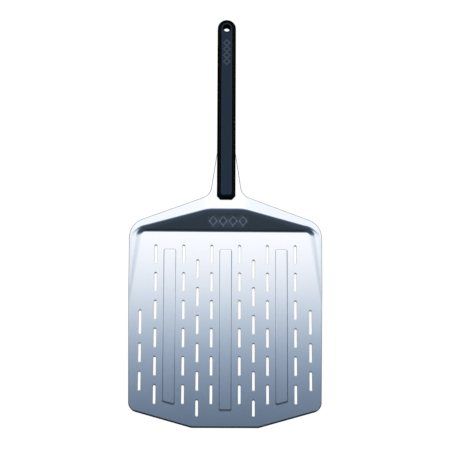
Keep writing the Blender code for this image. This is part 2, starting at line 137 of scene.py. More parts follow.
# How finely the head's surface is laid
EDGE_SPACING = 0.0015       # longest step along the head's outline
SLOT_SPACING = 0.004        # the same along slots and ribs
MARK_SPACING = 0.0006       # and along the pressed lines
EDGE_ANGLES = (90, 60, 30, 0)           # steepness of the lip where a ring follows it, in degrees
SLOT_ANGLES = (90, 72, 54, 36, 18, 0)
EDGE_RINGS = (0.0019, 0.0023, 0.003)    # insets of the rings between the lip and the grid
RIB_RINGS = np.linspace(-0.8, 2.9, 15) / 1000   # insets of the rings over a rib's sides
MARK_RINGS = np.linspace(-1, 1, 9) * MARK_HALF
GRID_MARGIN = 0.003         # the grid stays this far from the outline and from the screws
FINE_GRID = 0.0012          # spacing over the folds
COARSE_GRID = 0.006         # and over the flat parts
BENT = 2e-6                 # in a fold, four heights one fine step around differ by more in sum
FOLDS_START = 0.180         # reach from which folds are looked for
FOLDS_PAST_WALL = 0.02      # and how far past the back wall's top

# Handle
HANDLE_CHAMFER = 0.0055
SIDE_WALL_HEIGHT = 0.0066
CREST_HEIGHT = 0.0104
CREST_INSET = 0.00295
LAND_INSET = 0.0045
LAND_HEIGHT = 0.0099
SIDE_RADIUS = 0.0012        # of the edge between side and slope
CREST_RADIUS = 0.0008
LAND_RADIUS = 0.0005
PROFILE_FOOT = 0.002        # height at which the section above the parting edge starts
GRIP_SPACING = 0.003        # longest step along the handle's outlines
PARTING = 0.00015           # each shell's edge from the middle of the neck sheet
PARTING_CHAMFER = 0.0002
SHEET_CLEARANCE = 0.0003
SHUT_RUN = 0.002            # the edge shuts over this much narrowing of the neck
STEP_LIFT = 0.00005         # keeps the step inside the edge above the edge itself
SHELL_WALL = 0.0025
CEILING = 0.0066
INLAY_SEAT = 0.0084
INLAY_TOP = 0.0099
INLAY_GAP = 0.0003
INLAY_LIFT = 0.00005        # gap left under the inlay
INLAY_CORNER_RADIUS = 0.003
INLAY_EDGE = 0.0007         # radius of the inlay's upper edge
INLAY_CHAMFER = 0.0002      # and the chamfer of its lower edge
RECESS_CHAMFER = 0.00025
HOLE_DROP = 0.0002          # the post round the hanging hole ends this far below the inlay's face
HOLE_RADIUS = 0.00525
HOLE_RING_RADIUS = 0.0064
HOLE_POST_RADIUS = 0.008
BOSS_RADIUS = 0.0042
INSERT_BORE = 0.0025
INSERT_DEPTH = 0.0052
HEAD_BORE = 0.0033
HEAD_CHAMFER = 0.0003
HEAD_SEAT = 0.0037
SHANK_BORE = 0.0018
LOWER_BOSS_RADIUS = 0.0048
BOSS_STEPS = 32             # points round a boss

WALL_TOP = PAN_LENGTH + FOOT_OFFSET + NECK_HEIGHT / WALL_SLOPE
FRONT_SLOPE = FRONT_SWEEP / (HEAD_HALF - FRONT_NARROWING - FRONT_FLAT_HALF)
HOLE_PLACE = (0.0, HANDLE_REAR - HANDLE_HALF)


# Shared geometry

def smooth_max(a, b, width):
    """The larger of a and b, with the corner where they cross rounded over a difference of width."""
    width = np.maximum(width, 1e-9)
    near = np.maximum(width - np.abs(a - b), 0)
    return np.maximum(a, b) + near * near / (4 * width)


def smooth_min(a, b, width):
    """The smaller of a and b, rounded like smooth_max."""
    return -smooth_max(-a, -b, width)


def outline(corners, radii, spacing=None, steps=8):
    """Points once round a counter-clockwise polygon with rounded corners, and the way in at each point.

    A corner's arc is centred one radius in along the mitre of its two sides. The ring further in by s is
    points + s * ways, exactly parallel. Sides are divided so that no step is longer than spacing.
    """
    corners = np.asarray(corners, float)
    along = np.roll(corners, -1, 0) - corners
    along /= np.linalg.norm(along, axis=1)[:, None]
    inward = np.stack([-along[:, 1], along[:, 0]], 1)
    arcs = []
    for corner, radius, before, after in zip(corners, radii, np.roll(inward, 1, 0), inward):
        mitre = (before + after) / (1 + before @ after)
        turn = math.atan2(before[0] * after[1] - before[1] * after[0], before @ after)
        angles = math.atan2(before[1], before[0]) + turn * np.linspace(0, 1, steps + 1)
        ways = np.stack([np.cos(angles), np.sin(angles)], 1) if radius else mitre[None]
        arcs.append((corner + math.copysign(radius, turn) * (mitre - ways), ways))
    points, ways = [], []
    for (arc, arc_ways), (after, _), way in zip(arcs, arcs[1:] + arcs[:1], inward):
        length = np.linalg.norm(after[0] - arc[-1])
        parts = max(1, math.ceil(length / spacing)) if spacing else 1
        shares = np.linspace(0, 1, parts + 1)[1:-1, None]
        points += [arc, arc[-1] + shares * (after[0] - arc[-1])]
        ways += [arc_ways, np.broadcast_to(way, (len(shares), 2))]
    points, ways = np.concatenate(points), np.concatenate(ways)
    apart = np.linalg.norm(points - np.roll(points, 1, 0), axis=1) > 1e-7
    return points[apart], ways[apart]


def circle(centre, radius, steps=48):
    """Points round a circle, counter-clockwise."""
    angles = np.arange(steps) * math.tau / steps
    return np.asarray(centre) + radius * np.stack([np.cos(angles), np.sin(angles)], 1)


def segment_distance(points, starts, ends):
    """Distance from each point to the nearest segment, by the perpendicular's foot kept between its ends."""
    nearest = np.full(len(points), np.inf)
    for start, end in zip(np.asarray(starts, float), np.asarray(ends, float)):
        side = end - start
        share = np.clip((points - start) @ side / (side @ side), 0, 1)
        nearest = np.minimum(nearest, np.linalg.norm(points - start - share[:, None] * side, axis=1))
    return nearest


def inside(points, polygon):
    """Whether each point is inside the polygon: a line to one side crosses it an odd number of times."""
    found = np.zeros(len(points), bool)
    for (x1, y1), (x2, y2) in zip(polygon, np.roll(polygon, -1, 0)):
        spans = (points[:, 1] < y1) != (points[:, 1] < y2)
        crossing = x1 + (points[:, 1] - y1) * (x2 - x1) / (y2 - y1 if y2 != y1 else 1)
        found ^= spans & (points[:, 0] < crossing)
    return found


def triangulate(points, loops):
    """Counter-clockwise triangles over the points, within the first loop; loops hold numbers of points."""
    edges = np.concatenate([np.stack([loop, np.roll(loop, -1)], 1) for loop in loops])
    found = delaunay_2d_cdt(points.tolist(), edges.tolist(), [], 1, 1e-8)
    if len(found[0]) != len(points):
        raise ValueError("the outlines touch or cross one another")
    faces = np.array(found[2])
    a, b, c = (points[faces[:, i]] for i in range(3))
    area = (b[:, 0] - a[:, 0]) * (c[:, 1] - a[:, 1]) - (b[:, 1] - a[:, 1]) * (c[:, 0] - a[:, 0])
    faces[area < 0] = faces[area < 0][:, ::-1]
    return faces[np.abs(area) > 1e-14]


def make_piece(name, points, faces, material, stands_for, normals=None):
    """A shown mesh that rides on the root body and stands for a CAD node."""
    mesh = bpy.data.meshes.new(name)
    mesh.from_pydata(points.tolist(), [], [face for part in faces for face in part.tolist()])
    mesh.materials.append(material)
    mesh.update()
    mesh.shade_smooth()
    if normals is None:
        mesh.set_sharp_from_angle(angle=math.radians(32))
    else:
        mesh.normals_split_custom_set_from_vertices(normals.tolist())
    piece = bpy.data.objects.new(name, mesh)
    bpy.context.scene.collection.objects.link(piece)
    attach(piece, "root")
    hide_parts(stands_for)
    return piece


# The head

def head_outline(spacing=None):
    """The outline of head, neck and tang, and the way in at each point."""
    right = [(FRONT_FLAT_HALF, 0), (HEAD_HALF - FRONT_NARROWING, FRONT_SWEEP), (HEAD_HALF, NARROWING_START),
             (HEAD_HALF, PAN_LENGTH + BACK_CORNER_OFFSET), (NECK_ROOT_HALF, NECK_ROOT),
             (TANG_HALF, NECK_ROOT + NECK_TAPER_LENGTH), (TANG_HALF, TANG_END)]
    radii = [0, FRONT_CORNER_RADIUS, 0, BACK_CORNER_RADIUS, NECK_FILLET_RADIUS, 0, TANG_CORNER_RADIUS]
    corners = [(x, FRONT + reach) for x, reach in right]
    corners += [(-x, y) for x, y in reversed(corners)]
    return outline(corners, radii + radii[::-1], spacing, steps=20)


def rib_corners(column):
    """A rib's four corners; its front end runs parallel to the head's front edge."""
    x = column * COLUMN_PITCH
    margin = RIB_FRONT_MARGIN * math.hypot(1, FRONT_SLOPE if x else 0)
    left, right = x - RIB_WIDTH / 2, x + RIB_WIDTH / 2
    fronts = [max(0, abs(end) - FRONT_FLAT_HALF) * FRONT_SLOPE + margin for end in (left, right)]
    rear = FRONT + PAN_LENGTH - RIB_REAR_MARGIN
    return np.array([(left, FRONT + fronts[0]), (right, FRONT + fronts[1]), (right, rear), (left, rear)])


def rib_depth(points, column):
    """How far each point is inside a rib's rounded outline, negative outside it.

    The outline is a polygon one corner radius further in, grown by that radius.
    """
    corners = rib_corners(column)
    core, ways = outline(corners, [0] * 4)
    core = core + RIB_CORNER_RADIUS * ways
    along = np.roll(corners, -1, 0) - corners
    along /= np.linalg.norm(along, axis=1)[:, None]
    depths = [(points - corner) @ (-side[1], side[0]) for corner, side in zip(corners, along)]
    least = np.min(depths, axis=0)
    return np.where(least > RIB_CORNER_RADIUS, least,
                    RIB_CORNER_RADIUS - segment_distance(points, core, np.roll(core, -1, 0)))


def mark_corners():
    """The four corners of each pressed rhombus, counter-clockwise."""
    first = MARK_MIDDLE[0] - (MARK_COUNT - 1) / 2 * MARK_PITCH
    middles = [(first + number * MARK_PITCH, MARK_MIDDLE[1]) for number in range(MARK_COUNT)]
    return [np.array([(x + MARK_LENGTH, y), (x, y + MARK_WIDTH), (x - MARK_LENGTH, y), (x, y - MARK_WIDTH)])
            for x, y in middles]


def mark_distance(points):
    """Distance from each point to the nearest pressed line."""
    starts = np.concatenate(mark_corners())
    ends = np.concatenate([np.roll(corners, -1, 0) for corners in mark_corners()])
    return segment_distance(points, starts, ends)


def sheet_height(points):
    """Height of the sheet's underside at each point in plan.

    The walls rise from the pan's rounded contour. Round its corner, the back wall's slope passes into the
    strips' gentler one. The walls stop at the cover over them: the level neck, the shoulders that fall away
    from it and the tops of the side strips. Each rib adds a flat top on steep sides. A fold is the smooth
    larger or smaller of the two surfaces that meet in it. Where a line is pressed in, the depth is the
    square of one less the squared share of the line's half-width.
    """
    across, reach = np.abs(points[:, 0]), points[:, 1] - FRONT
    length = math.hypot(STRIP_LENGTH, STRIP_REAR_WIDTH)
    lean = STRIP_REAR_WIDTH / length
    back = reach - PAN_LENGTH - FOOT_OFFSET + PAN_CORNER_RADIUS
    side = ((across - HEAD_HALF + STRIP_REAR_WIDTH) * STRIP_LENGTH / length + (reach - PAN_LENGTH) * lean
            - FOOT_OFFSET / 2 + PAN_CORNER_RADIUS)
    to_corner = np.sqrt(np.maximum(back**2 + side**2 - 2 * lean * back * side, 0) / (1 - lean**2))
    outside = np.where((back > lean * side) & (side > lean * back), to_corner, np.maximum(back, side))
    rearward = np.maximum(back, 0) / np.maximum(np.hypot(np.maximum(back, 0), np.maximum(side, 0)), 1e-9)
    slope = SIDE_SLOPE + (WALL_SLOPE - SIDE_SLOPE) * rearward**2
    wall = smooth_max(0.0, slope * (outside - PAN_CORNER_RADIUS), FOOT_FOLD)
    fall = NECK_HEIGHT / (HEAD_HALF - SHOULDER_FOOT_MARGIN - PLATEAU_HALF)
    cover = smooth_min(NECK_HEIGHT, NECK_HEIGHT - fall * (across - PLATEAU_HALF), SHOULDER_FOLD)
    strip = STRIP_RISE / STRIP_LENGTH * (reach - PAN_LENGTH + STRIP_LENGTH)
    cover = np.maximum(smooth_max(strip, cover, STRIP_FOLD), 0)
    height = smooth_min(wall, cover, np.minimum(CREST_FOLD, np.maximum(wall, cover)))
    for column in RIB_COLUMNS:
        side_height = RIB_HEIGHT / RIB_RUN * rib_depth(points, column)
        height = height + smooth_min(RIB_HEIGHT, smooth_max(0.0, side_height, RIB_FOLD), RIB_FOLD)
    share = np.clip(1 - (mark_distance(points) / MARK_HALF) ** 2, 0, 1)
    return height - MARK_DEPTH * share**2


def slopes(height, points, step=2e-5):
    """Slopes of a height function in x and y, from its change over a small step to both sides."""
    return np.stack([(height(points + shift) - height(points - shift)) / (2 * step)
                     for shift in np.eye(2) * step], 1)


def top_height(points):
    """Height of the upper side: the sheet's thickness square to the underside, less the ground bevel."""
    thickness = SHEET * np.sqrt(1 + (slopes(sheet_height, points) ** 2).sum(1))
    across, reach = np.abs(points[:, 0]), points[:, 1] - FRONT
    swept = (reach - FRONT_SLOPE * (across - FRONT_FLAT_HALF)) / math.hypot(1, FRONT_SLOPE)
    from_edge = np.minimum(reach, swept)
    grind = (SHEET - LEADING_EDGE) / LEADING_BEVEL * (LEADING_BEVEL - from_edge)
    return sheet_height(points) + thickness - smooth_max(0.0, grind, GRIND_FOLD)


def slot_places():
    """Every slot as its place across and the reaches of its front and rear ends."""
    def column_ends(start, last_rear):
        rows = int((last_rear - start + ROW_PITCH - SLOT_LENGTH) / ROW_PITCH)
        return [(start + ROW_PITCH * row, start + ROW_PITCH * row + SLOT_LENGTH) for row in range(rows)]
    last_rear, staggered = PAN_LENGTH - REAR_MARGIN, FIRST_ROW + STAGGER
    side_column = HEAD_HALF - SIDE_MARGIN
    slots = []
    for column in range(1, int(side_column / COLUMN_PITCH - 0.5) + 1):
        if column in RIB_COLUMNS:
            continue
        ends = column_ends(FIRST_ROW, last_rear)
        if column == STAGGERED_COLUMN:
            ends = [(FRONT_MARGIN, staggered - ROW_PITCH + SLOT_LENGTH), *column_ends(staggered, last_rear)]
        slots += [(column * COLUMN_PITCH, *end) for end in ends]
    side_rear = PAN_LENGTH - STRIP_LENGTH - SIDE_REAR_MARGIN
    side_ends = column_ends(staggered, side_rear)
    side_ends[-1] = (side_ends[-1][0], side_rear)
    slots += [(side_column, *end) for end in side_ends]
    return slots + [(-x, *ends) for x, *ends in slots]


def slot_lines(slots):
    """The middle lines of the slots, from the centre of one round end to the other."""
    x, front, rear = np.array(slots).T
    radius = SLOT_WIDTH / 2
    return (np.stack([x, FRONT + front + radius], 1), np.stack([x, FRONT + rear - radius], 1))


def head_points(slots):
    """The points in plan that the head's surface is laid through.

    Rings follow each edge where its lip is rounded, each rib's sides and each pressed line. A fine grid
    covers the folds and a coarse one the flat parts. Every point has its distance in from its edge, the
    lip's radius there and the way in from that edge; away from the edges that distance is one metre, which
    is past any lip. The edges themselves are given as loops of point numbers.
    """
    plans, insets, lips, ways, loops, count = [], [], [], [], [], 0

    def add(points, inset, lip, way):
        nonlocal count
        plans.append(points)
        insets.append(np.broadcast_to(inset, len(points)))
        lips.append(np.broadcast_to(lip, len(points)))
        ways.append(way / np.maximum(np.linalg.norm(way, axis=1), 1e-9)[:, None])
        count += len(points)
        return np.arange(count - len(points), count)

    def lip_rings(edge, way, lip, angles, more=()):
        for number, angle in enumerate(angles):
            inset = lip * (1 - math.sin(math.radians(angle)))
            ring = add(edge + np.reshape(inset, (-1, 1)) * way, inset, lip, way)
            if number == 0:
                loops.append(ring)
        for inset in more:
            add(edge + inset * way, inset, lip, way)

    edge, way = head_outline(EDGE_SPACING)
    just_in = edge + 1e-5 * way
    thickness = top_height(just_in) - sheet_height(edge)
    lip_rings(edge, way, np.minimum(EDGE_LIP, EDGE_LIP_SHARE * thickness), EDGE_ANGLES, EDGE_RINGS)
    starts, ends = slot_lines(slots)
    for start, end in zip(starts, ends):
        box = [(start[0] + side * SLOT_WIDTH / 2, end_y) for side, end_y in
               ((-1, start[1] - SLOT_WIDTH / 2), (1, start[1] - SLOT_WIDTH / 2),
                (1, end[1] + SLOT_WIDTH / 2), (-1, end[1] + SLOT_WIDTH / 2))]
        edge, way = outline(box, [SLOT_WIDTH / 2] * 4, SLOT_SPACING, steps=6)
        drawn = np.clip(-way[:, 1], 0, 1) ** 4
        lip_rings(edge, -way, SLOT_LIP + (SLOT_REAR_LIP - SLOT_LIP) * drawn, SLOT_ANGLES)
    for place in SCREWS:
        edge = circle(place, PLATE_HOLE_RADIUS, 24)
        lip_rings(edge, (edge - np.asarray(place)) / PLATE_HOLE_RADIUS, UNDER_LIP, (90, 0))
    for column in RIB_COLUMNS:
        edge, way = outline(rib_corners(column), [RIB_CORNER_RADIUS] * 4, SLOT_SPACING, steps=6)
        for inset in RIB_RINGS:
            add(edge + inset * way, 1.0, EDGE_LIP, way)
    for corners in mark_corners():
        edge, way = outline(corners, [0] * 4, MARK_SPACING)
        for inset in MARK_RINGS:
            add(edge + inset * way, 1.0, EDGE_LIP, way)

    border, _ = head_outline()

    def grid(spacing, low, high, fold):
        x = np.arange(-HEAD_HALF, HEAD_HALF, spacing) + spacing / 2
        points = np.stack(np.meshgrid(x, np.arange(FRONT + low, FRONT + high, spacing)), 2).reshape(-1, 2)
        keep = (bending(points) > BENT) == fold
        keep &= inside(points, border)
        keep &= segment_distance(points, border, np.roll(border, -1, 0)) > GRID_MARGIN + spacing / 2
        keep &= segment_distance(points, starts, ends) > SLOT_WIDTH / 2 + SLOT_REAR_LIP + spacing / 2
        keep &= mark_distance(points) > MARK_HALF + spacing / 2
        for column in RIB_COLUMNS:
            depth = rib_depth(points, column)
            keep &= (depth < RIB_RINGS[0] - spacing / 2) | (depth > RIB_RINGS[-1] + spacing / 2)
        for place in SCREWS:
            keep &= np.linalg.norm(points - np.asarray(place), axis=1) > GRID_MARGIN
        return points[keep]

    def bending(points):
        shifts = np.array([(1, 0), (-1, 0), (0, 1), (0, -1)]) * FINE_GRID
        return np.abs(sum(sheet_height(points + shift) for shift in shifts) - 4 * sheet_height(points))

    folds = grid(FINE_GRID, FOLDS_START, WALL_TOP + FOLDS_PAST_WALL, True)
    flats = grid(COARSE_GRID, 0.0, TANG_END, False)
    for points in (folds, flats):
        add(points, 1.0, EDGE_LIP, np.zeros((len(points), 2)))
    return [np.concatenate(part) for part in (plans, insets, lips, ways)] + [loops]


def make_head(material):
    """The pressed head, neck and tang, replacing the CAD's creased sheet.

    Upper and under sides are height functions of the place in plan. They are laid through the same triangles
    and joined round every edge. Within one lip radius of an edge the surface drops along a quarter circle.
    """
    slots = slot_places()
    plan, inset, lip, way, loops = head_points(slots)
    faces = triangulate(plan, loops)
    middles = plan[faces].mean(1)
    cut = segment_distance(middles, *slot_lines(slots)) < SLOT_WIDTH / 2
    for place in SCREWS:
        cut |= np.linalg.norm(middles - np.asarray(place), axis=1) < PLATE_HOLE_RADIUS
    faces = faces[~cut]

    def side(height, lip, up):
        sine = np.clip((lip - inset) / lip, 0, 1)
        cosine = np.sqrt(1 - sine**2)
        slope = slopes(height, plan)
        level = np.column_stack([-slope, np.ones(len(plan))]) * up
        level /= np.linalg.norm(level, axis=1)[:, None]
        out = np.column_stack([-way, np.zeros(len(plan))])
        normals = level * cosine[:, None] + out * sine[:, None]
        points = np.column_stack([plan, height(plan) - up * lip * (1 - cosine)])
        return points, normals / np.linalg.norm(normals, axis=1)[:, None]

    top, top_normals = side(top_height, lip, 1)
    under, under_normals = side(sheet_height, np.full(len(plan), UNDER_LIP), -1)
    count = len(plan)
    every = [faces, faces[:, ::-1] + count]
    for number, loop in enumerate(loops):
        after = np.roll(loop, -1)
        wall = np.stack([loop + count, after + count, after, loop], 1)
        every.append(wall[:, ::-1] if number else wall)
    return make_piece("pressed_head", np.concatenate([top, under]), every, material, "blade",
                      np.concatenate([top_normals, under_normals]))


# The handle

class Skin:
    """A closed surface gathered from rings of points, all counter-clockwise from above."""

    def __init__(self):
        self.points, self.faces, self.count = [], [], 0

    def ring(self, plan, heights):
        """Add a ring of points; returns their numbers."""
        self.points.append(np.column_stack([plan, np.broadcast_to(heights, len(plan))]))
        self.count += len(plan)
        return np.arange(self.count - len(plan), self.count)

    def bands(self, *rings):
        """Join each ring to the next: outward-facing going up, upward-facing going in, inward going down."""
        for one, two in zip(rings, rings[1:]):
            self.faces.append(np.stack([one, np.roll(one, -1), np.roll(two, -1), two], 1))

    def lathe(self, centre, profile, steps=48):
        """Rings round an upright axis through a profile of radii and heights; returns the first and last."""
        rings = [self.ring(circle(centre, radius, steps), height) for radius, height in profile]
        self.bands(*rings)
        return rings[0], rings[-1]

    def cap(self, *rings, down=False):
        """Close the area inside the first ring and outside the others."""
        numbers = np.concatenate(rings)
        plan = np.concatenate(self.points)[numbers][:, :2]
        ends = np.cumsum([0] + [len(ring) for ring in rings])
        loops = [np.arange(start, end) for start, end in zip(ends, ends[1:])]
        faces = triangulate(plan, loops)
        middles = plan[faces].mean(1)
        for loop in loops[1:]:
            faces, middles = (part[~inside(middles, plan[loop])] for part in (faces, middles))
        self.faces.append(numbers[faces[:, ::-1] if down else faces])

    def finish(self, name, side, material, stands_for):
        """Make the piece; side is 1 above the middle of the neck sheet and -1 below it."""
        points = np.concatenate(self.points)
        points[:, 2] = MIDDLE + side * points[:, 2]
        faces = self.faces if side > 0 else [part[:, ::-1] for part in self.faces]
        return make_piece(name, points, faces, material, stands_for)


def rounded_profile(corners, radii, steps=5):
    """An open profile of insets and heights, with an arc in place of each corner between its ends."""
    closed, _ = outline(corners, [0, *radii, 0], steps=steps)
    return closed


def grip_outline(half, front, rear, corner, radius, spacing):
    """The handle's plan: front corners cut or rounded, and a half-round rear end."""
    if radius:
        fronts, radii = [(-half, front), (half, front)], [radius] * 2
    else:
        fronts = [(-half, front + corner), (-half + corner, front),
                  (half - corner, front), (half, front + corner)]
        radii = [0] * 4
    return outline([*fronts, (half, rear), (-half, rear)], [*radii, half, half], spacing, steps=20)


def make_shell(side, material):
    """One handle shell, replacing the CAD's.

    A profile is carried round the handle's plan: parting edge, side, slope, rounded crest and the land
    inside it. Within are the inlay's recess, the hanging hole's post, a hollow, and a boss for every screw.
    Where the neck sheet passes between the shells, the edge stands clear of it.
    """
    plan, ways = grip_outline(HANDLE_HALF, HANDLE_FRONT, HANDLE_REAR, HANDLE_CHAMFER, 0, GRIP_SPACING)
    taper = (NECK_ROOT_HALF - TANG_HALF) / NECK_TAPER_LENGTH
    neck_half = NECK_ROOT_HALF - taper * (plan[:, 1] - FRONT - NECK_ROOT)
    clear = SHEET / 2 + SHEET_CLEARANCE
    beside = HANDLE_HALF - SHEET_CLEARANCE - neck_half
    shut = np.clip(beside / SHUT_RUN, 0, 1)
    edge = clear + (PARTING - clear) * shut
    step = np.clip(beside, 2 * PARTING_CHAMFER, SHELL_WALL - PARTING_CHAMFER)[:, None]
    skin = Skin()
    inner = [skin.ring(plan + SHELL_WALL * ways, height) for height in (CEILING, clear + STEP_LIFT)]
    low = [skin.ring(plan + step * ways, clear + STEP_LIFT), skin.ring(plan + step * ways, edge),
           skin.ring(plan + PARTING_CHAMFER * ways, edge), skin.ring(plan, edge + PARTING_CHAMFER)]
    profile = rounded_profile([(0, PROFILE_FOOT), (0, SIDE_WALL_HEIGHT), (CREST_INSET, CREST_HEIGHT),
                               (LAND_INSET, LAND_HEIGHT), (LAND_INSET + 0.0003, LAND_HEIGHT)],
                              [SIDE_RADIUS, CREST_RADIUS, LAND_RADIUS])
    outer = [skin.ring(plan + inset * ways, height) for inset, height in profile]
    skin.bands(*inner, *low, *outer)
    recess, recess_ways = grip_outline(INLAY_HALF + INLAY_GAP, INLAY_FRONTS[side] - INLAY_GAP,
                                       HOLE_PLACE[1] + INLAY_HALF + INLAY_GAP, 0, INLAY_CORNER_RADIUS,
                                       GRIP_SPACING)
    rim = [skin.ring(recess - RECESS_CHAMFER * recess_ways, LAND_HEIGHT),
           skin.ring(recess, LAND_HEIGHT - RECESS_CHAMFER), skin.ring(recess, INLAY_SEAT)]
    skin.bands(*rim)
    post_top = INLAY_TOP - HOLE_DROP
    outer_edge = [(HOLE_RING_RADIUS, post_top - 0.0003), (HOLE_RING_RADIUS - 0.0001, post_top - 0.0001),
                  (HOLE_RING_RADIUS - 0.0003, post_top)]
    bore_edge = [(HOLE_RADIUS + 0.0004, post_top), (HOLE_RADIUS + 0.0001, post_top - 0.0002),
                 (HOLE_RADIUS, post_top - 0.0006)]
    hole = skin.lathe(HOLE_PLACE, [(HOLE_RING_RADIUS, INLAY_SEAT), *outer_edge, *bore_edge,
                                   (HOLE_RADIUS, PARTING), (HOLE_POST_RADIUS, PARTING),
                                   (HOLE_POST_RADIUS, CEILING)])
    land_holes, floor_holes, bosses = [], [], []
    for place in SCREWS:
        if side > 0:
            tip, boss = skin.lathe(place, [(INSERT_BORE, INSERT_DEPTH), (INSERT_BORE, clear),
                                           (BOSS_RADIUS, clear), (BOSS_RADIUS, CEILING)], BOSS_STEPS)
            skin.cap(tip, down=True)
        else:
            sunk = place[1] > INLAY_FRONTS[side]
            face = INLAY_SEAT if sunk else LAND_HEIGHT
            mouth, boss = skin.lathe(place, [(HEAD_BORE + HEAD_CHAMFER, face),
                                             (HEAD_BORE, face - HEAD_CHAMFER),
                                             (HEAD_BORE, HEAD_SEAT), (SHANK_BORE, HEAD_SEAT),
                                             (SHANK_BORE, clear), (LOWER_BOSS_RADIUS, clear),
                                             (LOWER_BOSS_RADIUS, CEILING)], BOSS_STEPS)
            (floor_holes if sunk else land_holes).append(mouth)
        bosses.append(boss)
    skin.cap(outer[-1], rim[0], *land_holes)
    skin.cap(rim[-1], hole[0], *floor_holes)
    skin.cap(inner[0], hole[1], *bosses, down=True)
    name = "upper" if side > 0 else "lower"
    return skin.finish(f"moulded_{name}_shell", side, material, f"handle_{name}_shell")


def make_inlay(side, material):
    """One inlay, replacing the CAD's: a plate with a rounded upper edge and a hole for the handle's post."""
    plan, ways = grip_outline(INLAY_HALF, INLAY_FRONTS[side], HOLE_PLACE[1] + INLAY_HALF, 0,
                              INLAY_CORNER_RADIUS, GRIP_SPACING)
    skin = Skin()
    low = INLAY_SEAT + INLAY_LIFT
    profile = rounded_profile([(INLAY_CHAMFER, low), (0, low + INLAY_CHAMFER), (0, INLAY_TOP),
                               (INLAY_EDGE + 0.0002, INLAY_TOP)], [0, INLAY_EDGE])
    rings = [skin.ring(plan + inset * ways, height) for inset, height in profile]
    skin.bands(*rings)
    bore = HOLE_RING_RADIUS + INLAY_GAP
    hole = skin.lathe(HOLE_PLACE, [(bore + 0.0006, INLAY_TOP), (bore + 0.0002, INLAY_TOP - 0.0001),
                                   (bore, INLAY_TOP - 0.0004), (bore, low)])
    skin.cap(rings[-1], hole[0])
    skin.cap(rings[0], hole[1], down=True)
    name = "upper" if side > 0 else "lower"
    return skin.finish(f"soft_{name}_inlay", side, material, f"{name}_grip_inlay")


# Materials

class Value:
    """A shader socket that can be used in sums like a number."""

    def __init__(self, tree, socket):
        self.tree, self.socket = tree, socket

    def node(self, kind, inputs=(), output=0, **settings):
        """Make any node: settings are its properties, inputs its sockets by number or name."""
        made = self.tree.nodes.new(kind)
        for name, value in settings.items():
            setattr(made, name, value)
        for key, value in dict(inputs).items():
            if isinstance(value, Value):
                self.tree.links.new(value.socket, made.inputs[key])
            else:
                made.inputs[key].default_value = value
        return Value(self.tree, made.outputs[output])

    def maths(self, operation, *values):
        return self.node("ShaderNodeMath", enumerate(values), operation=operation)

    def __add__(self, other):
        return self.maths("ADD", self, other)

    def __sub__(self, other):
        return self.maths("SUBTRACT", self, other)

    def __rsub__(self, other):
        return self.maths("SUBTRACT", other, self)

    def __mul__(self, other):
        return self.maths("MULTIPLY", self, other)

    def __truediv__(self, other):
        return self.maths("DIVIDE", self, other)

    def __abs__(self):
        return self.maths("ABSOLUTE", self)

    __radd__, __rmul__ = __add__, __mul__

    def ramp(self, low, high):
        """0 below low and 1 above high, turning smoothly between them."""
        return self.node("ShaderNodeMapRange", {"Value": self, "From Min": low, "From Max": high},
                         interpolation_type="SMOOTHSTEP")

    def stretched(self, x, y, z):
        """A vector, scaled by a different amount along each axis."""
        return self.node("ShaderNodeVectorMath", {0: self, 1: (x, y, z)}, operation="MULTIPLY")

    def part(self, axis):
        """One component of a vector."""
        return self.node("ShaderNodeSeparateXYZ", {0: self}, "XYZ".index(axis))

    def noise(self, scale, detail=2.0):
        return self.node("ShaderNodeTexNoise", {"Vector": self, "Scale": scale, "Detail": detail})

    def mix(self, one, other):
        """A colour between one, where this value is 0, and other, where it is 1."""
        inputs = {0: self, 6: one if isinstance(one, Value) else (*one, 1),
                  7: other if isinstance(other, Value) else (*other, 1)}
        return self.node("ShaderNodeMix", inputs, 2, data_type="RGBA")


def new_material(name, **constants):
    """An empty Principled material and the Object coordinates in it."""
    material = bpy.data.materials.new(name)
    material.use_nodes = True
    tree = material.node_tree
    shader = tree.nodes["Principled BSDF"]
    for key, value in constants.items():
        shader.inputs[key.replace("_", " ")].default_value = value
    place = Value(tree, tree.nodes.new("ShaderNodeTexCoord").outputs["Object"])

    def connect(**values):
        for key, value in values.items():
            tree.links.new(value.socket, shader.inputs[key.replace("_", " ")])
        return material
    return place, connect


def rhombus_row(along, across, pitch, count, length, width, line):
    """1 on the outlines of a centred row of rhombi, and 0 off them.

    A rhombus lies where |along| / length + |across| / width is 1. To both sides its outline is solid up to
    nearly half of line, and it ends at line.
    """
    last = (count - 1) / 2
    spot = along / pitch + last
    whole = spot.maths("ROUND", spot)
    within = whole.maths("MINIMUM", whole.maths("MAXIMUM", whole, 0.0), float(count - 1))
    off = abs(along - (within - last) * pitch)
    shape = off / length + abs(across) / width
    return 1.0 - abs(shape - 1.0).ramp(line * 0.45, line)


def head_metal():
    """Light anodised aluminium: bright, a little blue, with a faint lengthwise grain from rolling."""
    place, connect = new_material("anodised_aluminium", Metallic=1.0)
    grain = place.stretched(1, 0.02, 1).noise(2600.0, 3.0)
    streaks = place.stretched(1, 0.012, 1).noise(420.0, 2.0)
    clouds = place.noise(22.0, 3.0)
    roughness = 0.085 + 0.02 * grain + 0.02 * clouds + 0.01 * streaks
    colour = (0.35 * clouds + 0.65 * streaks).mix((0.815, 0.82, 0.835), (0.845, 0.85, 0.86))
    bump = place.node("ShaderNodeBump", {"Strength": 0.03, "Distance": 0.0001, "Height": grain})
    return connect(Base_Color=colour, Roughness=roughness, Normal=bump)


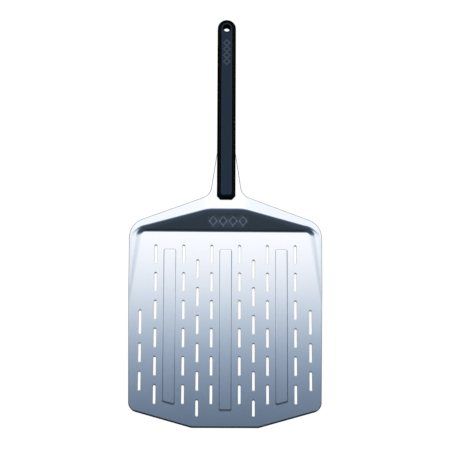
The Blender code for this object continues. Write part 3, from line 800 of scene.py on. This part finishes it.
def shell_plastic():
    """Black glass-filled nylon with a fine moulded grain, and a painted highlight that makes it a little
    paler along its crest.
    """
    place, connect = new_material("black_nylon", Specular_IOR_Level=0.06)
    grain = place.noise(3200.0, 2.0)
    broad = place.noise(60.0, 2.0)
    body = (0.5 * grain + 0.5 * broad).mix((0.0004, 0.0004, 0.0005), (0.0012, 0.0012, 0.0014))
    # painted highlight: the colour turns paler near the crest's height, standing in for the light that the
    # rounded crest catches
    crest = abs(place.part("Z") - MIDDLE).ramp(CREST_HEIGHT - 0.0005, CREST_HEIGHT - 0.0002)
    colour = crest.mix(body, (0.006, 0.0065, 0.0075))
    bump = place.node("ShaderNodeBump", {"Strength": 0.06, "Distance": 0.0001, "Height": grain})
    return connect(Base_Color=colour, Roughness=0.42 + 0.10 * broad, Normal=bump)


def inlay_plastic():
    """Slate-coloured soft nylon with a fine grain, a painted highlight that makes its rim paler, and a plain
    row of printed rhombi.

    The rim's painted highlight is found by the distance from the middle line, and past the hanging hole from
    the hole's axis.
    """
    place, connect = new_material("slate_nylon", Specular_IOR_Level=0.15)
    grain = place.noise(2400.0, 3.0)
    broad = place.noise(45.0, 3.0)
    body = (0.4 * grain + 0.6 * broad).mix((0.019, 0.044, 0.076), (0.026, 0.055, 0.089))
    back = place.part("Y") - HOLE_PLACE[1]
    past = back.maths("MAXIMUM", back, 0.0)
    square = place.part("X") * place.part("X") + past * past
    from_middle = square.maths("SQRT", square)
    # painted highlight: the inlay's rim is made paler, standing in for the light caught by its rounded edge
    edge = from_middle.ramp(INLAY_HALF - 0.0018, INLAY_HALF - 0.0008)
    with_painted_rim_highlight = edge.mix(body, (0.046, 0.056, 0.072))
    printed = rhombus_row(back + 0.0395, place.part("X"), 0.0102, 4, 0.0047, 0.0052, 0.38)
    colour = printed.mix(with_painted_rim_highlight, (0.118, 0.145, 0.182))
    bump = place.node("ShaderNodeBump", {"Strength": 0.12, "Distance": 0.0001, "Height": grain})
    return connect(Base_Color=colour, Roughness=0.46 + 0.1 * broad, Normal=bump)


def fastener(name, dark, light, roughness):
    """Turned metal with rings of faint tool marks."""
    place, connect = new_material(name, Metallic=1.0)
    marks = place.stretched(1, 1, 12).noise(900.0, 2.0)
    return connect(Base_Color=marks.mix(dark, light), Roughness=roughness + 0.12 * marks)


# The setting

def make_world():
    """Soft studio surroundings for the reflections, and plain white to the camera.

    A card's colour follows the angle from straight up, negative before the head and positive towards the
    handle: dark blue before the head, and bright from overhead backwards. To both sides of its rear half
    the card is lit evenly, and further out it is itself again, dimmer. Lower down runs a dark ring, with
    grey beneath it.
    """
    world = bpy.data.worlds.new("studio")
    bpy.context.scene.world = world
    world.use_nodes = True
    tree = world.node_tree
    way = Value(tree, tree.nodes.new("ShaderNodeTexCoord").outputs["Generated"])
    lean = way.maths("ARCTAN2", way.part("Y"), way.part("Z"))
    stops = [(-180, (0.1, 0.1, 0.1)), (-90, (0.003, 0.004, 0.006)), (-66, (0.003, 0.004, 0.006)),
             (-58, (0.024, 0.034, 0.046)), (-52, (0.041, 0.057, 0.075)), (-30, (0.043, 0.062, 0.088)),
             (-12, (0.05, 0.073, 0.11)), (-4.5, (0.098, 0.14, 0.21)), (-2.5, (0.137, 0.195, 0.285)),
             (-1.2, (0.195, 0.265, 0.375)), (0, (0.275, 0.355, 0.49)), (1.3, (0.38, 0.49, 0.62)),
             (2.6, (0.575, 0.665, 0.8)), (3.9, (0.8, 0.9, 1.0)), (5, (1.03, 1.06, 1.13)),
             (6.5, (1.15, 1.16, 1.2)), (9, (1.28, 1.28, 1.3)), (18, (1.28, 1.28, 1.3)),
             (32, (0.8, 0.82, 0.86)), (46, (0.78, 0.8, 0.84)), (58, (1.1, 1.1, 1.12)),
             (74, (1.1, 1.1, 1.12)), (90, (0.5, 0.52, 0.56)), (180, (0.1, 0.1, 0.1))]
    ramp = tree.nodes.new("ShaderNodeValToRGB")
    elements = ramp.color_ramp.elements
    for angle, colour in stops[1:-1]:
        elements.new((angle + 180) / 360).color = (*colour, 1)
    elements[0].color, elements[-1].color = (*stops[0][1], 1), (*stops[-1][1], 1)
    tree.links.new((lean / math.tau + 0.5).socket, ramp.inputs[0])
    card = Value(tree, ramp.outputs[0])
    sides = abs(way.part("X")).ramp(0.1, 0.4) * lean.ramp(0.0, 0.1)
    lit = sides.mix(card, (1.07, 1.12, 1.18))
    beside = abs(way.part("X")).ramp(0.45, 0.85).mix(lit, card.stretched(0.78, 0.85, 0.92))
    above = (way.part("Z") + 0.15 * way.part("Y")).ramp(0.38, 0.56).mix((0.008, 0.01, 0.014), beside)
    colour = way.part("Z").ramp(0.18, 0.28).mix((0.25, 0.28, 0.33), above)
    eye = Value(tree, tree.nodes.new("ShaderNodeLightPath").outputs["Is Camera Ray"])
    background = tree.nodes["Background"]
    tree.links.new(eye.mix(colour, (1, 1, 1)).socket, background.inputs["Color"])


def make_floor():
    """A plain white floor that is evenly lit from within, so that nothing casts a shadow on it."""
    mesh = bpy.data.meshes.new("floor")
    low, half = -0.0015, 12.0
    mesh.from_pydata([(-half, -half, low), (half, -half, low), (half, half, low), (-half, half, low)], [],
                     [(0, 1, 2, 3)])
    material = bpy.data.materials.new("white_floor")
    material.use_nodes = True
    tree = material.node_tree
    shader = tree.nodes["Principled BSDF"]
    shader.inputs["Base Color"].default_value = (0.04, 0.04, 0.04, 1)
    shader.inputs["Roughness"].default_value = 0.9
    shader.inputs["Emission Strength"].default_value = 1.0
    eye = Value(tree, tree.nodes.new("ShaderNodeLightPath").outputs["Is Camera Ray"])
    tree.links.new(eye.mix((0.005, 0.005, 0.005), (1, 1, 1)).socket, shader.inputs["Emission Color"])
    mesh.materials.append(material)
    floor = bpy.data.objects.new("floor", mesh)
    bpy.context.scene.collection.objects.link(floor)


def make_camera():
    """Looks almost straight down at the peel from a little before its middle."""
    camera = bpy.data.objects.new("camera", bpy.data.cameras.new("camera"))
    bpy.context.scene.collection.objects.link(camera)
    bpy.context.scene.camera = camera
    camera.data.lens, camera.data.sensor_width = 85, 36
    target, distance = Vector((-0.0012, -0.0058, 0)), 1.6855
    forward, sideways, roll = math.radians(7.63), math.radians(1.2), math.radians(0.4)
    back = Vector((-math.sin(sideways), -math.sin(forward), 0))
    back.z = math.sqrt(1 - back.length_squared)
    camera.location = target + distance * back
    right = Vector((math.cos(roll), math.sin(roll), 0)).cross(back).cross(back) * -1
    right.normalize()
    up = back.cross(right)
    turned = Matrix((right, up, back)).transposed().to_4x4()
    camera.matrix_world = Matrix.Translation(camera.location) @ turned


metal, black, slate = head_metal(), shell_plastic(), inlay_plastic()
make_head(metal)
for side in (1, -1):
    make_shell(side, black)
    make_inlay(side, slate)
steel = fastener("black_steel", (0.10, 0.10, 0.105), (0.16, 0.16, 0.165), 0.28)
brass = fastener("turned_brass", (0.62, 0.43, 0.17), (0.72, 0.52, 0.23), 0.24)
for name in SCREW_NAMES:
    for kind, material in (("screw", steel), ("insert", brass)):
        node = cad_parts[f"{name}_{kind}"]
        node.data.materials.clear()
        node.data.materials.append(material)
make_world()
make_floor()
make_camera()
bpy.context.scene.view_settings.view_transform = "Standard"
